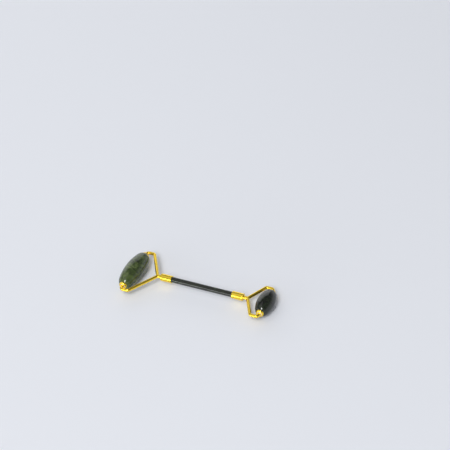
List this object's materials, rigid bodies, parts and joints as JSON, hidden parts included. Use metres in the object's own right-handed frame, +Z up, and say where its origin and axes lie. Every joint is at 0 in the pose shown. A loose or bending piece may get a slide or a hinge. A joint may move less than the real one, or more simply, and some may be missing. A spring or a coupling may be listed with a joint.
{
  "type": "double-ended stone face roller",
  "caption": "Slim stone handle with a gold wire fork at each end, each carrying a free-spinning oval stone, a long and a short one, for rolling over the face.",
  "frame": {"origin": "on the floor, under the middle of the roller's outer box", "axes": "+X along the handle towards the small stone, +Y along the stones' axles, +Z up from the floor"},
  "size_m": [0.1436, 0.057, 0.0176],
  "materials": {
    "green_jade": "polished, veined",
    "dark_jade": "polished, nearly black",
    "gold_plate": "polished plate",
    "steel_core": "drawn",
    "nylon_liner": "moulded",
    "fibre_washer": "pressed fibre"
  },
  "bodies": {
    "frame": {"handle_rod": "dark_jade", "tie_rod": "steel_core", "large_ferrule": "gold_plate", "large_washer": "fibre_washer", "large_neck": "gold_plate", "large_fork": "gold_plate", "small_ferrule": "gold_plate", "small_washer": "fibre_washer", "small_neck": "gold_plate", "small_fork": "gold_plate"},
    "large_roller": {"large_stone": "green_jade", "large_front_cap": "gold_plate", "large_back_cap": "gold_plate", "large_front_bush": "nylon_liner", "large_back_bush": "nylon_liner"},
    "small_roller": {"small_stone": "dark_jade", "small_front_cap": "gold_plate", "small_back_cap": "gold_plate", "small_front_bush": "nylon_liner", "small_back_bush": "nylon_liner"}
  },
  "joints": [
    {"name": "large_roller_spin", "type": "hinge", "parent": "frame", "child": "large_roller", "pos_m": [-0.06304, 0, 0.0088], "axis": [0, 1, 0], "continuous": true},
    {"name": "small_roller_spin", "type": "hinge", "parent": "frame", "child": "small_roller", "pos_m": [0.06384, 0, 0.0088], "axis": [0, 1, 0], "continuous": true}
  ]
}
